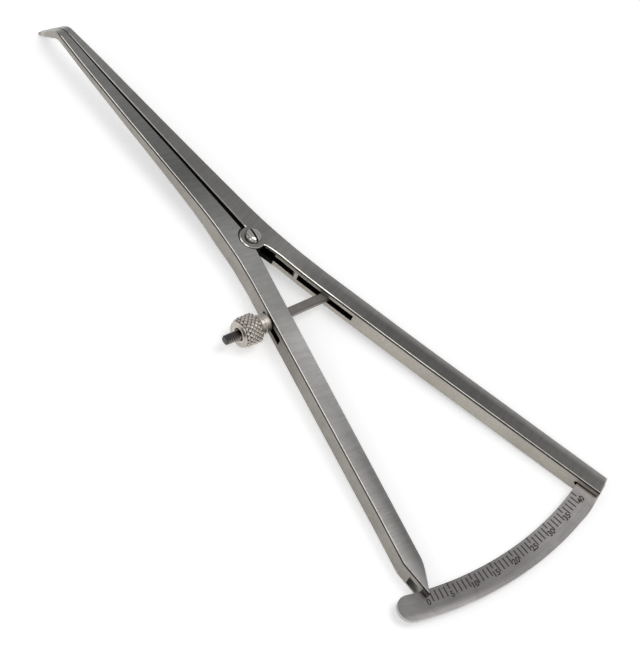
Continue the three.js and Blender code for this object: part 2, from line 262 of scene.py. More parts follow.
def buildHandlingGroup():
    tree, given, result = startTree("handlingMarks", "ShaderNodeTree", {
        "Vector": None,
        "Size mm": 9.0,
        "Scratches": 0.5,
    }, ("Smudges", "Scratch Lines"))
    scale = calc(tree, "DIVIDE", 1 / mm, given["Size mm"])
    clouds = noise(tree, given["Vector"], scale, 4.0, Roughness=0.6, Distortion=0.6)
    tree.links.new(ramp(tree, clouds, 0.35, 0.7), result["Smudges"])
    lines = 0.0
    for turn, seed in scratchLook["turnsAndSeeds"]:
        moved = addNode(tree, "ShaderNodeMapping", {
            "Vector": given["Vector"],
            "Location": (seed, seed, seed),
            "Rotation": (0.0, 0.0, turn),
            "Scale": tuple(size / mm for size in scratchLook["scalePerMm"]),
        }).outputs[0]
        hair = minus(tree, noise(tree, moved, 1.0, 1.0), scratchLook["level"])
        thin = fade(tree, unsigned(tree, hair), 0.0, scratchLook["width"])
        lines = larger(tree, lines, thin)
    tree.links.new(times(tree, lines, given["Scratches"]), result["Scratch Lines"])
    return tree


# Brightness that changes along a part, from (place in mm, brightness) pairs
def toneAlong(tree, place, pairs):
    first, last = pairs[0][0], pairs[-1][0]
    node = addNode(tree, "ShaderNodeValToRGB", {"Fac": ramp(tree, place, first, last, smooth=False)})
    stops = node.color_ramp.elements
    for number, (where, tone) in enumerate(pairs):
        share = (where - first) / (last - first)
        if number == 0:
            stop = stops[0]
        elif where == last:
            stop = stops[len(stops) - 1]
        else:
            stop = stops.new(share)
        stop.position = share
        stop.color = (tone, tone, tone, 1)
    return node.outputs[0]


# Which way the surface faces, as masks: flat tops, upright sides and the worn edges between them.
# On the bent tips the top leans forward, so there only the lean to one side counts.
def buildFacingGroup():
    tree, given, result = startTree("facing", "ShaderNodeTree", {
        "Vector": None,
        "Normal": None,
        "Bend mm": -68.0,
    }, ("Top", "Side", "Edge"))
    normal = splitUp(tree, given["Normal"])
    onTip = isBelow(tree, splitUp(tree, given["Vector"])[0], times(tree, given["Bend mm"], mm))
    lean = times(tree, normal[0], normal[0], onTip)
    steep = calc(tree, "SQRT", addUp(tree, lean, (normal[2], normal[2])))
    top = ramp(tree, steep, 0.86, 0.97)
    side = fade(tree, steep, 0.2, 0.5)
    edge = minus(tree, minus(tree, 1.0, top), side)
    tree.links.new(top, result["Top"])
    tree.links.new(side, result["Side"])
    tree.links.new(larger(tree, edge, 0.0), result["Edge"])
    return tree


# Place on an arm: how far along it, across it and up, in mm
def buildPlaceGroup():
    outputs = ("Along", "Across", "Up")
    tree, given, result = startTree("armPlace", "ShaderNodeTree", {"Vector": None, "Turn": 0.0}, outputs)
    split = splitUp(tree, turnBy(tree, given["Vector"], given["Turn"]))
    for label, part in zip(outputs, split):
        tree.links.new(times(tree, part, 1 / mm), result[label])
    return tree


# Painted shade, from where to where in mm: near black in the slots, on their ledges, in the corner behind the
# lugs, in the ring round them and in the gap between the jaws with its seam
paintedShadePlaces = {
    "height": (0.3, 4.3),
    "belowTop": (4.35, 4.5),
    "aboveTable": (0.1, 0.3),
    "slotDepth": (0.25, 4.4),
    "slotStart": (-4.0, -3.0),
    "ledgeStart": (-3.0, -2.5),
    "cornerStart": 1.5,
    "cornerSoft": 0.15,
    "cornerTop": (3.75, 3.95),
    "cornerDepth": (-0.6, 3.0),
    "ringRadius": (3.58, 3.66),
    "gapWidth": (0.7, 0.8),
    "gapHeight": (2.5, 3.4),
    "gapLowShare": 0.2,
    "gapAlong": (-69, -1),
    "seamWidth": (0.1, 0.17),
    "seamEnd": -55,
}


# Mask of painted shade: near black where the arms' recesses and gaps fall in shade
def buildGrimeGroup():
    tree, given, result = startTree("paintedShade", "ShaderNodeTree", {
        "Vector": None,
        "Normal": None,
        "Along": 0.0,
        "Up": 0.0,
        "Depth": 0.0,
        "Slot End": 90.0,
        "Ledge End": 99.0,
        "Corner End": 6.7,
        "Gap Share": 1.0,
    }, ("Mask",))
    at = paintedShadePlaces
    along, up, depth = given["Along"], given["Up"], given["Depth"]
    x, y = (times(tree, part, 1 / mm) for part in splitUp(tree, given["Vector"])[:2])
    normal = splitUp(tree, given["Normal"])
    level = ramp(tree, unsigned(tree, normal[2]), 0.8, 0.9)
    sideways = unsigned(tree, normal[1])
    offCentre = unsigned(tree, y)
    height = between(tree, up, *at["height"])
    belowTop = fade(tree, up, *at["belowTop"])
    slots = times(tree, height, between(tree, depth, *at["slotDepth"]))
    slots = times(tree, slots, ramp(tree, along, *at["slotStart"]), isBelow(tree, along, given["Slot End"]))
    ledges = times(tree, level, height, ramp(tree, along, *at["ledgeStart"]))
    ledges = times(tree, ledges, isBelow(tree, along, given["Ledge End"]))
    corner = between(tree, along, at["cornerStart"], given["Corner End"], at["cornerSoft"])
    corner = times(tree, corner, fade(tree, up, *at["cornerTop"]), between(tree, depth, *at["cornerDepth"]))
    ring = times(tree, fade(tree, fromAxis(tree, x, y), *at["ringRadius"]), belowTop)
    ring = times(tree, ring, ramp(tree, up, *at["aboveTable"]))
    gap = times(tree, ramp(tree, sideways, 0.85, 0.97), fade(tree, offCentre, *at["gapWidth"]), belowTop)
    gap = times(tree, gap, ramp(tree, up, *at["gapHeight"], at["gapLowShare"], 1.0))
    gap = times(tree, gap, given["Gap Share"], between(tree, x, *at["gapAlong"]))
    seam = times(tree, fade(tree, offCentre, *at["seamWidth"]), fade(tree, sideways, 0.8, 0.92))
    seam = times(tree, seam, isBelow(tree, x, at["seamEnd"]))
    mask = slots
    for part in (ledges, ring, gap, seam, corner):
        mask = larger(tree, mask, part)
    tree.links.new(mask, result["Mask"])
    return tree


brushGroup = buildBrushGroup()
handlingGroup = buildHandlingGroup()
facingGroup = buildFacingGroup()
placeGroup = buildPlaceGroup()
paintedShadeGroup = buildGrimeGroup()


# A shared node group put into a material, with its inputs set
def useGroup(tree, group, inputs):
    node = tree.nodes.new("ShaderNodeGroup")
    node.node_tree = group
    for key, value in inputs.items():
        feed(tree, node.inputs[key], value)
    return node.outputs


def startMaterial(name):
    material = bpy.data.materials.new(name)
    material.use_nodes = True
    tree = material.node_tree
    return material, tree, tree.nodes["Principled BSDF"].inputs


def bumpFrom(tree, height, depth):
    inputs = {"Height": height, "Distance": depth * mm, "Strength": 1.0}
    return addNode(tree, "ShaderNodeBump", inputs).outputs[0]


# What every steel here starts with: its coordinates and the marks of handling
def startSteel(name, look):
    material, tree, surface = startMaterial(name)
    coords = addNode(tree, "ShaderNodeTexCoord").outputs
    marks = useGroup(tree, handlingGroup, {
        "Vector": coords["Object"],
        "Size mm": look["smudgeSize"],
        "Scratches": look["scratches"],
    })
    return material, tree, surface, coords, marks


def facingOf(tree, coords):
    return useGroup(tree, facingGroup, {"Vector": coords["Object"], "Normal": coords["Normal"]})


# Brightness from the fine lines and the smudges, close to 1
def brightness(tree, lines, marks, look):
    contrast = look["lineContrast"]
    shade = addUp(tree, 1 - contrast / 2, (lines, contrast))
    return times(tree, shade, ramp(tree, marks["Smudges"], 0.0, 1.0, *look["smudgeTones"]))


def finishSteel(tree, surface, colour, rough, height, look):
    tree.links.new(colour, surface["Base Color"])
    surface["Metallic"].default_value = 1.0
    tree.links.new(rough, surface["Roughness"])
    tree.links.new(bumpFrom(tree, height, look["bump"]), surface["Normal"])


# Flat top of an arm, its brightness along it painted light fitted to the reflections on it, paler towards its
# outer edge behind the pivot
def topColour(tree, place, look):
    colour = shaded(tree, look["tint"], toneAlong(tree, place["Along"], look["paintedTopLightTones"]))
    outer = ramp(tree, place["Across"], look["paleFrom"], look["paleTo"], smooth=False)
    outer = times(tree, outer, ramp(tree, place["Along"], 0.0, look["paleRun"]), look["paleLift"])
    return blendColour(tree, outer, colour, look["paleColour"])


# Upright side of an arm, with a darker band under its top edge near the joint
def sideColour(tree, place, nearJoint, look):
    band = ramp(tree, place["Up"], look["bandFrom"], look["bandTo"], 0.0, 1.0 - look["bandShade"])
    band = minus(tree, 1.0, times(tree, band, nearJoint))
    band = times(tree, band, toneAlong(tree, place["Along"], look["sideTones"]))
    return shaded(tree, look["sideColour"], band)


# How much of the pale edge colour shows: worn edges with a painted highlight on them, less on the jaws' inner
# edges and away from the joint
def edgeMask(tree, coords, facing, nearJoint, look):
    spot = splitUp(tree, coords["Object"])
    jawInner = fade(tree, unsigned(tree, spot[1]), look["jawFrom"] * mm, look["jawTo"] * mm)
    jawInner = times(tree, jawInner, isBelow(tree, spot[0], look["jawEnd"] * mm))
    jawShare = addUp(tree, 1.0, (jawInner, look["jawShine"] - 1.0))
    jointShare = addUp(tree, look["edgeShine"], (nearJoint, 1.0 - look["edgeShine"]))
    return times(tree, facing["Edge"], jawShare, jointShare)


# Painted dark reflection just under the top edge, where the rounded edge mirrors darker surroundings
def edgeLine(tree, place, facing, nearJoint, look):
    high = addUp(tree, look["lineHigh"], (nearJoint, look["lineNear"] - look["lineHigh"]))
    line = between(tree, place["Up"], look["lineLow"], high, look["lineSoft"])
    return times(tree, line, minus(tree, 1.0, facing["Top"]), look["lineShade"])


# How deep inside an arm's inner edge a spot lies, in mm
def armDepth(tree, place, look):
    inner = addUp(tree, look["inner"], (place["Along"], look["innerSlope"]))
    hollow = larger(tree, addUp(tree, 1.0, (place["Along"], -1 / look["hollowEnd"])), 0.0)
    inner = addUp(tree, inner, (times(tree, hollow, hollow), look["hollow"]))
    return times(tree, minus(tree, place["Across"], inner), look["bodySide"])


# Ground and brushed steel of the arms: worn edges with a painted highlight, painted light along the tops, and
# painted shade under the top edges and in the slots, corners and gaps
def groundSteel(name, look):
    material, tree, surface, coords, marks = startSteel(name, look)
    turn = math.radians(-look["turn"])
    brush = useGroup(tree, brushGroup, {
        "Vector": coords["Object"],
        "Turn": turn,
        "Lines per mm": look["linesPerMm"],
        "Stretch": look["stretch"],
    })
    facing = facingOf(tree, coords)
    place = useGroup(tree, placeGroup, {"Vector": coords["Object"], "Turn": turn})
    nearJoint = fade(tree, place["Along"], look["jointEnd"] - look["jointFade"], look["jointEnd"])
    # painted shade in the slots, on the ledges, in the corner, round the lug and in the jaw gap
    paintedShade = useGroup(tree, paintedShadeGroup, {
        "Vector": coords["Object"],
        "Normal": coords["Normal"],
        "Along": place["Along"],
        "Up": place["Up"],
        "Depth": armDepth(tree, place, look),
        "Slot End": look["slotEnd"],
        "Ledge End": look["ledgeEnd"],
        "Corner End": look["cornerEnd"],
        "Gap Share": look["gapShare"],
    })["Mask"]
    colour = topColour(tree, place, look)
    colour = blendColour(tree, facing["Side"], colour, sideColour(tree, place, nearJoint, look))
    # painted highlight on the worn edges
    shine = edgeMask(tree, coords, facing, nearJoint, look)
    colour = blendColour(tree, shine, colour, look["wornEdgeHighlightColour"])
    # painted dark reflection under the top edge
    line = edgeLine(tree, place, facing, nearJoint, look)
    colour = blendColour(tree, line, colour, look["paintedShadeColour"])
    colour = blendColour(tree, paintedShade, colour, look["paintedShadeColour"])
    shade = brightness(tree, brush["Lines"], marks, look)
    shade = times(tree, shade, ramp(tree, brush["Bands"], 0.0, 1.0, *look["bandTones"]))
    shade = addUp(tree, shade, (marks["Scratch Lines"], look["scratchLift"]))
    rough = addUp(
        tree,
        look["roughness"] - 0.05,
        (brush["Lines"], 0.1),
        (marks["Smudges"], 0.07),
        (facing["Edge"], -0.12),
        (paintedShade, 0.4),
    )
    height = addUp(tree, brush["Lines"], (marks["Scratch Lines"], -1.5))
    finishSteel(tree, surface, shaded(tree, colour, shade), rough, height, look)
    return material


# Turned steel: fine rings about the axis of the part, which lies along +X before the turn
def turnedSteel(name, look):
    material, tree, surface, coords, marks = startSteel(name, look)
    local = addNode(tree, "ShaderNodeMapping", {
        "Vector": coords["Object"],
        "Location": look["centre"],
        "Rotation": look["axisTurn"],
    }, vector_type="TEXTURE").outputs[0]
    along, across, up = splitUp(tree, local)
    radius = fromAxis(tree, across, up)
    close = look["ringsPerMm"] / mm
    rings = joinUp(tree, times(tree, along, close), times(tree, radius, close))
    lines = ramp(tree, noise(tree, rings, 1.0, 2.0), 0.3, 0.7)
    shade = brightness(tree, lines, marks, look)
    # painted shade along the part: on the nut it darkens the end face, its raised lip left bright
    if "paintedFaceShade" in look:
        shade = times(tree, shade, toneAlong(tree, times(tree, along, 1 / mm), look["paintedFaceShade"]))
    # painted sheen: the lower round side made brighter, standing in for the floor it reflects
    if "flatHeight" in look:
        flat = look["flatHeight"] * mm
        shade = times(tree, shade, ramp(tree, up, -0.75 * flat, -0.3 * flat, look["paintedLowerSheen"], 1.0))
    # painted highlights across the screw head and painted shade in its slot
    if "paintedHighlightStripes" in look:
        shade = times(tree, shade, toneAlong(tree, times(tree, across, 1 / mm), look["paintedHighlightStripes"]))
    # Darker towards the roots, on the nut's knurl and the rod's thread and flats
    if "rootRadius" in look:
        root = ramp(tree, along, look["taperStart"] * mm, look["taperEnd"] * mm,
                    look["rootRadius"] * mm, look["taperRadius"] * mm, smooth=False)
        crest = look["crestHeight"] * mm
        rootDark = ramp(tree, minus(tree, radius, root), 0.0, crest, look["rootShade"], 1.0)
        share = between(tree, along, look["darkFrom"] * mm, look["darkTo"] * mm, 0.1 * mm)
        shade = blendColour(tree, share, shade, times(tree, shade, rootDark))
    rough = addUp(tree, look["roughness"] - 0.04, (lines, 0.08), (marks["Smudges"], 0.08))
    finishSteel(tree, surface, shaded(tree, look["colour"], shade), rough, lines, look)
    return material


# Scale plate: dull rolled sheet, paler towards its outer edge and where it was cleaned at the root
def plateSteel(name, look):
    material, tree, surface, coords, marks = startSteel(name, look)
    x, y, z = splitUp(tree, coords["Object"])
    radius = fromAxis(tree, x, y)
    angle = times(tree, calc(tree, "ARCTAN2", y, x), 180 / math.pi)
    close = look["linesPerMm"] / mm
    sweep = joinUp(tree, times(tree, radius, close), times(tree, angle, 0.25), times(tree, z, close))
    lines = ramp(tree, noise(tree, sweep, 1.0, 3.0), 0.3, 0.7)
    facing = facingOf(tree, coords)
    outward = ramp(tree, radius, look["paleFrom"] * mm, look["paleTo"] * mm)
    base = shaded(tree, look["tint"], toneAlong(tree, angle, look["tones"]))
    outer = shaded(tree, look["outerColour"], toneAlong(tree, angle, look["outerTones"]))
    colour = blendColour(tree, outward, base, outer)
    cleaned = ramp(tree, angle, look["rootFrom"], look["rootTo"])
    colour = blendColour(tree, cleaned, colour, look["rootColour"])
    colour = blendColour(tree, facing["Side"], colour, look["sideColour"])
    shade = brightness(tree, lines, marks, look)
    rough = addUp(tree, look["roughness"], (marks["Smudges"], 0.1))
    finishSteel(tree, surface, shaded(tree, colour, shade), rough, lines, look)
    return material


# Etched marks: matt brown-black, a little uneven where the acid bit less
def etchedMark(name, look):
    material, tree, surface = startMaterial(name)
    coords = addNode(tree, "ShaderNodeTexCoord").outputs
    grain = noise(tree, coords["Object"], 3.5 / mm, 3.0)
    patchy = ramp(tree, grain, 0.35, 0.75)
    tree.links.new(blendColour(tree, patchy, look["dark"], look["pale"]), surface["Base Color"])
    tree.links.new(addUp(tree, 0.55, (patchy, 0.2)), surface["Roughness"])
    tree.links.new(bumpFrom(tree, grain, look["bump"]), surface["Normal"])
    return material


scaleArmLook = {
    "tint": (1.0, 0.975, 0.935, 1),
    # painted light: brightness along the top, fitted to the reflections seen on it
    "paintedTopLightTones": ((-78, 0.45), (-60, 0.43), (-42, 0.31), (-20, 0.29), (0, 0.31), (8, 0.39), (16, 0.28),
                 (34, 0.19), (60, 0.17), (97, 0.22)),
    "paleColour": (0.58, 0.566, 0.54, 1),
    "paleLift": 0.95,
    "sideColour": (0.41, 0.385, 0.34, 1),
    # pale worn edge colour, shown as a painted highlight
    "wornEdgeHighlightColour": (0.8, 0.775, 0.73, 1),
    # near black of the painted shade, also used for the painted line under the top edge
    "paintedShadeColour": (0.012, 0.011, 0.01, 1),
    "paleFrom": 2.2,
    "paleTo": 4.6,
    "paleRun": 40.0,
    "sideTones": ((-10, 1.0), (34, 1.0), (50, 0.93), (70, 1.0), (90, 0.84), (97, 0.84)),
    "jointEnd": 27.0,
    "jointFade": 6.0,
    "edgeShine": 0.6,
    "lineLow": 4.08,
    "lineHigh": 4.63,
    "lineNear": 4.56,
    "lineShade": 0.93,
    "lineSoft": 0.04,
    "bandFrom": 3.1,
    "bandTo": 3.6,
    "bandShade": 0.62,
    "jawShine": 0.0,
    "jawFrom": 0.95,
    "jawTo": 1.1,
    "jawEnd": -3.7,
    "inner": -0.5,
    "innerSlope": 0.0,
    "hollow": 1.35,
    "hollowEnd": 40.0,
    "cornerEnd": 6.7,
    "gapShare": 1.0,
    "bodySide": 1.0,
    "slotEnd": 93.6,
    "ledgeEnd": 99.0,
    "roughness": 0.33,
    "turn": layout["scaleArmAngle"],
    "linesPerMm": 8.0,
    "stretch": 12.0,
    "lineContrast": 0.14,
    "smudgeSize": 9.0,
    "smudgeTones": (1.03, 0.94),
    "scratches": 0.35,
    "scratchLift": 0.35,
    "bandTones": (0.96, 1.04),
    "bump": 0.0035,
}
pointerArmLook = dict(
    scaleArmLook,
    tint=(1.0, 0.99, 0.965, 1),
    # painted light along the pointer's top, with a painted reflection at 29 mm
    paintedTopLightTones=((-78, 0.42), (-60, 0.39), (-42, 0.3), (-20, 0.22), (-10, 0.33), (3, 0.49), (20, 0.46),
              (29, 0.7), (42, 0.52), (60, 0.3), (80, 0.2), (97, 0.22)),
    paleColour=(0.55, 0.53, 0.51, 1),
    sideColour=(0.33, 0.31, 0.28, 1),
    # the dip from 24 to 33 mm is painted shade from the nut
    sideTones=((-10, 1.0), (16, 1.0), (24, 0.74), (33, 0.74), (42, 0.92), (97, 0.94)),
    edgeShine=1.0,
    lineLow=4.12,
    lineNear=4.63,
    bandShade=1.0,
    jawShine=0.35,
    paleFrom=-2.6,
    paleTo=-6.2,
    inner=-0.66,
    innerSlope=-0.0108,
    hollow=0.0,
    cornerEnd=1.9,
    gapShare=0.3,
    bodySide=-1.0,
    slotEnd=40.0,
    ledgeEnd=40.0,
    turn=layout["pointerArmAngle"],
)
plateLook = {
    "outerColour": (0.38, 0.363, 0.356, 1),
    "outerTones": ((-20, 1.1), (-14, 1.25), (-8, 1.0), (-2, 0.85), (4, 1.05), (13, 1.05)),
    "rootColour": (0.72, 0.66, 0.63, 1),
    "tones": ((-20, 0.24), (-14, 0.2), (-8, 0.235), (-2, 0.265), (4, 0.38), (13, 0.44)),
    "tint": (1.0, 0.955, 0.945, 1),
    "sideColour": (0.5, 0.49, 0.47, 1),
    "paleFrom": 96.3,
    "paleTo": 98.2,
    "rootFrom": 12.3,
    "rootTo": 14.3,
    "roughness": 0.38,
    "linesPerMm": 5.0,
    "lineContrast": 0.14,
    "smudgeSize": 6.0,
    "smudgeTones": (1.05, 0.92),
    "scratches": 0.25,
    "bump": 0.003,
}
nutLook = {
    "colour": (0.8, 0.74, 0.67, 1),
    "centre": tuple(rodStart()),
    "axisTurn": (0.0, 0.0, math.radians(layout["rodAngle"])),
    "ringsPerMm": 5.0,
    "lineContrast": 0.14,
    "smudgeSize": 3.0,
    "smudgeTones": (1.04, 0.9),
    "scratches": 0.2,
    "roughness": 0.27,
    "bump": 0.003,
}
nutStart = layout["collarStart"] + layout["collarLength"]
knurlLook = dict(
    nutLook,
    rootRadius=3.39,
    taperRadius=2.93,
    taperStart=nutStart + 5.2,
    taperEnd=nutStart + 5.85,
    crestHeight=0.12,
    rootShade=0.2,
    darkFrom=nutStart + 1.75,
    darkTo=nutStart + 6.0,
    roughness=0.3,
    # painted shade on the nut's end face
    paintedFaceShade=tuple(
        (nutStart + place, tone)
        for place, tone in ((0, 1.0), (5.9, 1.0), (6.05, 0.7), (6.31, 0.7), (6.36, 1.0), (6.5, 1.0))
    ),
)
collarLook = dict(nutLook, colour=(0.72, 0.67, 0.61, 1), roughness=0.4)
rodLook = dict(
    nutLook,
    colour=(0.29, 0.272, 0.26, 1),
    rootRadius=0.98,
    taperRadius=0.98,
    taperStart=13.0,
    taperEnd=30.0,
    crestHeight=0.2,
    rootShade=0.3,
    flatHeight=0.8,
    # painted sheen on the rod's lower round side
    paintedLowerSheen=2.3,
    darkFrom=13.0,
    darkTo=31.0,
    roughness=0.36,
)
screwLook = dict(
    nutLook,
    colour=(0.86, 0.83, 0.79, 1),
    centre=(0.0, 0.0, 0.0),
    axisTurn=(0.0, math.radians(-90), math.radians(-11)),
    roughness=0.17,
    lineContrast=0.08,
    # painted highlight stripes on the dome, painted shade in the slot
    paintedHighlightStripes=((-1.95, 0.3), (-1.5, 0.5), (-1.15, 1.0), (-0.8, 0.62), (-0.55, 1.0), (-0.3, 0.7),
             (-0.24, 0.3), (0.05, 0.5), (0.24, 0.12), (0.3, 1.0), (0.7, 0.7), (1.4, 0.75), (1.95, 0.4)),
)
etchLook = {"dark": (0.022, 0.014, 0.009, 1), "pale": (0.06, 0.043, 0.032, 1), "bump": 0.004}

scaleArmSteel = groundSteel("scaleArmSteel", scaleArmLook)
pointerArmSteel = groundSteel("pointerArmSteel", pointerArmLook)
platedSheet = plateSteel("plateSteel", plateLook)
collarSteel = turnedSteel("collarSteel", collarLook)
knurlSteel = turnedSteel("knurlSteel", knurlLook)
rodSteel = turnedSteel("rodSteel", rodLook)
screwSteel = turnedSteel("screwSteel", screwLook)
etchBlack = etchedMark("etchBlack", etchLook)
print("materials made")


def dress(node, material):
    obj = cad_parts[node]
    if not obj.material_slots:
        obj.data.materials.append(material)
    for place in obj.material_slots:
        place.material = material


dress("rod_pin", scaleArmSteel)



def addObject(name, data):
    obj = bpy.data.objects.new(name, data)
    scene.collection.objects.link(obj)
    return obj


# The mesh of an object with its modifiers; the object itself goes
def takeMesh(obj):
    shaped = obj.evaluated_get(bpy.context.evaluated_depsgraph_get())
    mesh = bpy.data.meshes.new_from_object(shaped)
    bpy.data.objects.remove(obj)
    return mesh


def toMesh(solid, name):
    mesh = bpy.data.meshes.new(name)
    solid.to_mesh(mesh)
    solid.free()
    return mesh


# Puts a finished mesh in the scene as a piece that rides on a body
def finishPiece(name, mesh, material, body, node=None, smoothAngle=35):
    solid = bmesh.new()
    solid.from_mesh(mesh)
    bmesh.ops.remove_doubles(solid, verts=solid.verts, dist=1e-7)
    bmesh.ops.recalc_face_normals(solid, faces=solid.faces)
    solid.to_mesh(mesh)
    solid.free()
    if smoothAngle:
        mesh.shade_smooth()
        mesh.set_sharp_from_angle(angle=math.radians(smoothAngle))
    mesh.materials.clear()
    mesh.materials.append(material)
    piece = addObject(name, mesh)
    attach(piece, body)
    if node:
        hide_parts(node)


# Value between (place, value) pairs, held at the ends
def follow(pairs, place):
    for (low, first), (high, second) in zip(pairs, pairs[1:]):
        if place <= high:
            return first + (second - first) * max(place - low, 0.0) / (high - low)
    return pairs[-1][1]


def clamp(value):
    return min(max(value, 0.0), 1.0)


# A copy of a node's mesh, its doubles merged, cut across at places where its edges may bend
def cutCopy(node, cuts):
    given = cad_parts[node].data
    bare = bpy.data.meshes.new(node + "Copy")
    bare.from_pydata([v.co for v in given.vertices], [], [tuple(f.vertices) for f in given.polygons])
    solid = bmesh.new()
    solid.from_mesh(bare)
    bmesh.ops.remove_doubles(solid, verts=solid.verts, dist=0.0001 * mm)
    for place, direction in cuts:
        bmesh.ops.bisect_plane(
            solid,
            geom=solid.verts[:] + solid.edges[:] + solid.faces[:],
            plane_co=direction * place * mm,
            plane_no=direction,
            dist=0.0001 * mm,
        )
    return solid


# How far each worn edge stands outside the straight one of its solid, in mm. Places are mm
# along the arm behind the pivot, and negative ones mm ahead of it.
scaleArmShape = {
    "angle": layout["scaleArmAngle"],
    "side": 1.0,
    "inner": ((2.4, 0.0), (3.0, -0.45), (4.0, -0.8), (6.0, -0.9), (8.0, -0.9), (10.0, -0.75),
              (12.5, -0.58), (15.0, -0.45), (18.0, -0.37), (21.0, -0.27), (25.0, -0.19), (30.0, -0.1),
              (35.0, -0.03), (42.0, 0.06), (50.0, 0.13), (97.0, 0.13)),
    "outer": ((-73.5, 0.0), (-70, -0.3), (-67, -0.25), (-60, -0.13), (-40, -0.18), (-20, -0.14),
              (-10, -0.05), (0, 0.08), (6, 0.18), (15, 0.3), (22, 0.28), (30, 0.2), (40, 0.05),
              (50, 0.02), (97, 0.2)),
    "gap": ((-70, 0.0), (0, 0.0)),
    "innerEdge": -0.5,
    "innerSlope": 0.0,
    "outerFrom": 3.2,
    "outerTo": 3.7,
    "endSlant": 0.55,
    "lip": {
        "corners": ((2.6, 0.25), (3.6, 0.42), (5.0, 0.47), (7.1, 0.46), (7.1, 2.6), (2.6, 2.6)),
        "bottom": 0.02,
        "top": 1.46,
    },
}
pointerArmShape = {
    "angle": layout["pointerArmAngle"],
    "side": -1.0,
    "inner": ((3.0, 0.0), (8.0, 0.04), (86.0, 0.22), (92.0, 0.0)),
    "outer": ((-72, 0.0), (-60, 0.3), (-40, 0.35), (-20, 0.2), (-10, 0.21), (-2, 0.17), (2, 0.05),
              (5, -0.09), (8, -0.11), (11, -0.25), (75, -0.25), (86, -0.07), (92, 0.0)),
    "gap": ((-70, 0.0), (-60, 0.12), (-50, 0.22), (-26, 0.1), (-8, 0.0)),
    "innerEdge": 0.68,
    "innerSlope": 0.0128,
    "outerFrom": 5.0,
    "outerTo": 5.7,
    "endSlant": 0.0,
}

# Width of a jaw in mm from the line between the jaws, and what of it keeps its place
jawShape = {"widthAtPivot": 5.65, "taper": 0.05, "joint": 3.7, "innerRim": 0.6, "bothRims": 1.1}

# How the inner edge's move fades out into the arm and beside it, and the slant fades out of the end
moveFade = {"hold": 1.2, "inside": 1.4, "beside": 0.8, "endFrom": 94.0, "endRun": 3.0, "endDepth": 4.6}

# Where the arms and the jaws are cut across, in mm from the pivot
armCuts = (*range(4, 30, 2), *range(30, 94, 4))
jawCuts = range(-68, 0, 4)


# Closes the mouth of the pocket beside the lower lug, from (along, out) corners in mm; the corner's painted
# shade turns most of this block black
def addLip(solid, ahead, beside, lip):
    rims = []
    for height in (lip["bottom"], lip["top"]):
        up = Vector((0, 0, height))
        rims.append([solid.verts.new((ahead * a + beside * b + up) * mm) for a, b in lip["corners"]])
    low, high = rims
    faces = [low[::-1], high]
    for number in range(len(low)):
        after = (number + 1) % len(low)
        faces.append([low[number], low[after], high[after], high[number]])
    for corners in faces:
        solid.faces.new(corners)


# How far a point of a jaw moves outwards, in mm
def jawMove(shape, along, out):
    width = jawShape["widthAtPivot"] + jawShape["taper"] * along
    share = clamp((out - jawShape["innerRim"]) / (width - jawShape["bothRims"]))
    return follow(shape["outer"], along) * share + follow(shape["gap"], along) * (1 - share)


# How far a point of an arm moves outwards and how far on past its end, in mm
def armMove(shape, along, out):
    depth = out - shape["innerEdge"] - shape["innerSlope"] * along
    if depth > 0:
        nearInner = clamp(moveFade["hold"] - depth / moveFade["inside"])
    else:
        nearInner = clamp(1 + depth / moveFade["beside"])
    nearOuter = clamp((out - shape["outerFrom"]) / (shape["outerTo"] - shape["outerFrom"]))
    aside = follow(shape["outer"], along) * nearOuter - follow(shape["inner"], along) * nearInner
    nearEnd = clamp((along - moveFade["endFrom"]) / moveFade["endRun"])
    return aside, shape["endSlant"] * nearEnd * clamp(1 - depth / moveFade["endDepth"])


# The arm as it is after years of grinding and handling: hollowed by the joint, fuller at the shoulder
def buildArm(name, node, shape, material, body):
    turn = math.radians(shape["angle"])
    ahead = Vector((math.cos(turn), math.sin(turn), 0))
    beside = Vector((-math.sin(turn), math.cos(turn), 0)) * shape["side"]
    jawSide = Vector((0, shape["side"], 0))
    cuts = [(place, ahead) for place in armCuts]
    cuts += [(place, Vector((1, 0, 0))) for place in jawCuts]
    solid = cutCopy(node, cuts)
    for vert in solid.verts:
        flat = Vector((vert.co.x, vert.co.y, 0)) / mm
        if flat.x >= 0:
            aside, onward = armMove(shape, flat.dot(ahead), flat.dot(beside))
            vert.co += (beside * aside + ahead * onward) * mm
        elif flat.length >= jawShape["joint"]:
            vert.co += jawSide * jawMove(shape, flat.x, flat.dot(jawSide)) * mm
    if "lip" in shape:
        addLip(solid, ahead, beside, shape["lip"])
    bmesh.ops.triangulate(solid, faces=solid.faces)
    finishPiece(name, toMesh(solid, name), material, body, node, 28)


# Body turned about +X from (distance, radius) pairs in mm; radius 0 makes a pole
def turnedMesh(name, profile, steps=96):
    solid = bmesh.new()
    rings = []
    for distance, radius in profile:
        if radius == 0:
            rings.append([solid.verts.new((distance * mm, 0, 0))])
            continue
        ring = []
        for step in range(steps):
            a = 2 * math.pi * step / steps
            spot = Vector((distance, radius * math.cos(a), radius * math.sin(a)))
            ring.append(solid.verts.new(spot * mm))
        rings.append(ring)
    closed = profile[0][1] > 0
    pairs = list(zip(rings, rings[1:])) + ([(rings[-1], rings[0])] if closed else [])
    for first, second in pairs:
        for step in range(steps):
            after = (step + 1) % steps
            corners = [first[step % len(first)], first[after % len(first)],
                       second[after % len(second)], second[step % len(second)]]
            corners = [c for i, c in enumerate(corners) if c not in corners[:i]]
            if len(corners) > 2:
                solid.faces.new(corners)
    bmesh.ops.recalc_face_normals(solid, faces=solid.faces)
    return toMesh(solid, name)


